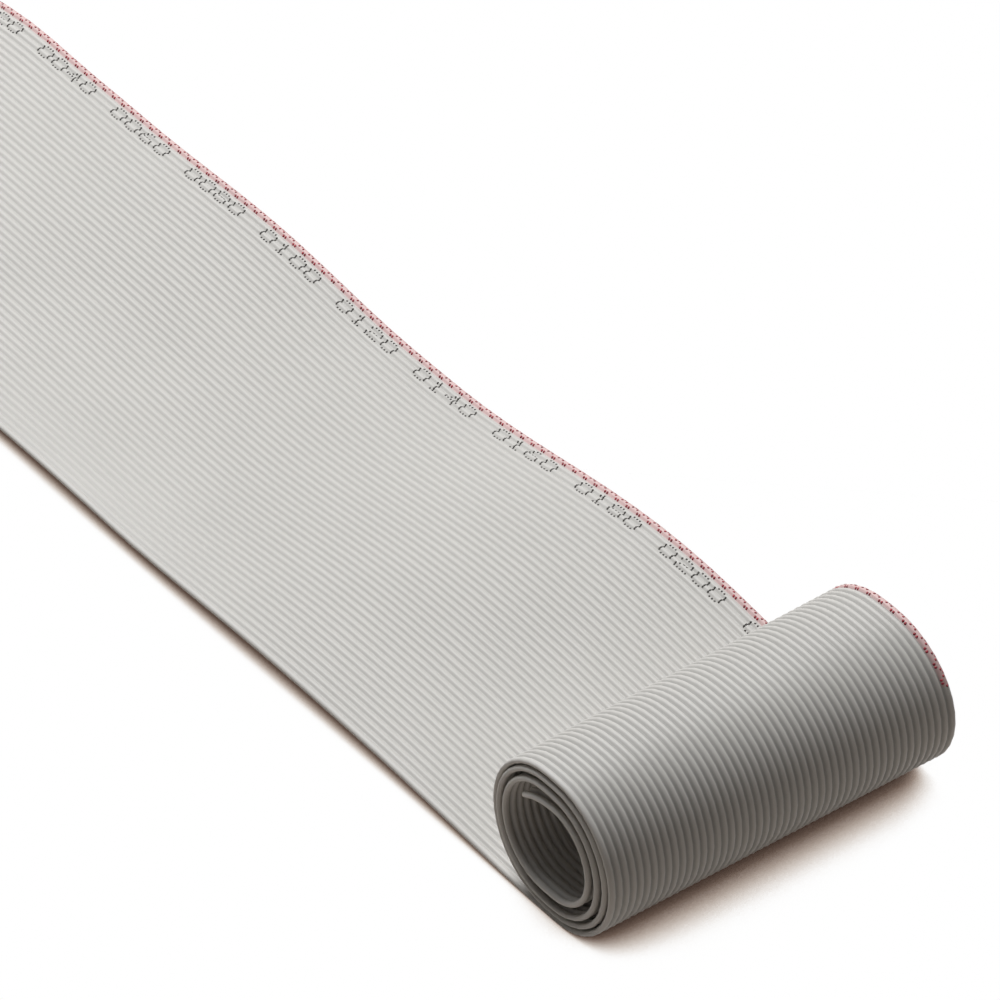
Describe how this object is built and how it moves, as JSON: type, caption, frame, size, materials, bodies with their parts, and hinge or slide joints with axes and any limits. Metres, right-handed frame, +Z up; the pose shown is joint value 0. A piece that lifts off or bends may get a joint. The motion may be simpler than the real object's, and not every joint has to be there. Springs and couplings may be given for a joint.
{
  "type": "ribbon cable",
  "caption": "Flat grey ribbon cable with parallel stranded wires, one end loosely rolled up and the rest lying out flat.",
  "frame": {"origin": "on the floor, under the middle of the piece's box", "axes": "+X along the cable from the square cut towards the roll, +Y across it towards the red-marked edge, +Z up"},
  "size_m": [0.248, 0.0636, 0.0285],
  "materials": {
    "grey_pvc": "satin",
    "tinned_copper": "satin"
  },
  "bodies": {
    "root": {"insulation": "grey_pvc", "wire_01": "tinned_copper", "wire_02": "tinned_copper", "wire_03": "tinned_copper", "wire_04": "tinned_copper", "wire_05": "tinned_copper", "wire_06": "tinned_copper", "wire_07": "tinned_copper", "wire_08": "tinned_copper", "wire_09": "tinned_copper", "wire_10": "tinned_copper", "wire_11": "tinned_copper", "wire_12": "tinned_copper", "wire_13": "tinned_copper", "wire_14": "tinned_copper", "wire_15": "tinned_copper", "wire_16": "tinned_copper", "wire_17": "tinned_copper", "wire_18": "tinned_copper", "wire_19": "tinned_copper", "wire_20": "tinned_copper", "wire_21": "tinned_copper", "wire_22": "tinned_copper", "wire_23": "tinned_copper", "wire_24": "tinned_copper", "wire_25": "tinned_copper", "wire_26": "tinned_copper", "wire_27": "tinned_copper", "wire_28": "tinned_copper", "wire_29": "tinned_copper", "wire_30": "tinned_copper", "wire_31": "tinned_copper", "wire_32": "tinned_copper", "wire_33": "tinned_copper", "wire_34": "tinned_copper", "wire_35": "tinned_copper", "wire_36": "tinned_copper", "wire_37": "tinned_copper", "wire_38": "tinned_copper", "wire_39": "tinned_copper", "wire_40": "tinned_copper", "wire_41": "tinned_copper", "wire_42": "tinned_copper", "wire_43": "tinned_copper", "wire_44": "tinned_copper", "wire_45": "tinned_copper", "wire_46": "tinned_copper", "wire_47": "tinned_copper", "wire_48": "tinned_copper", "wire_49": "tinned_copper", "wire_50": "tinned_copper"}
  },
  "joints": []
}
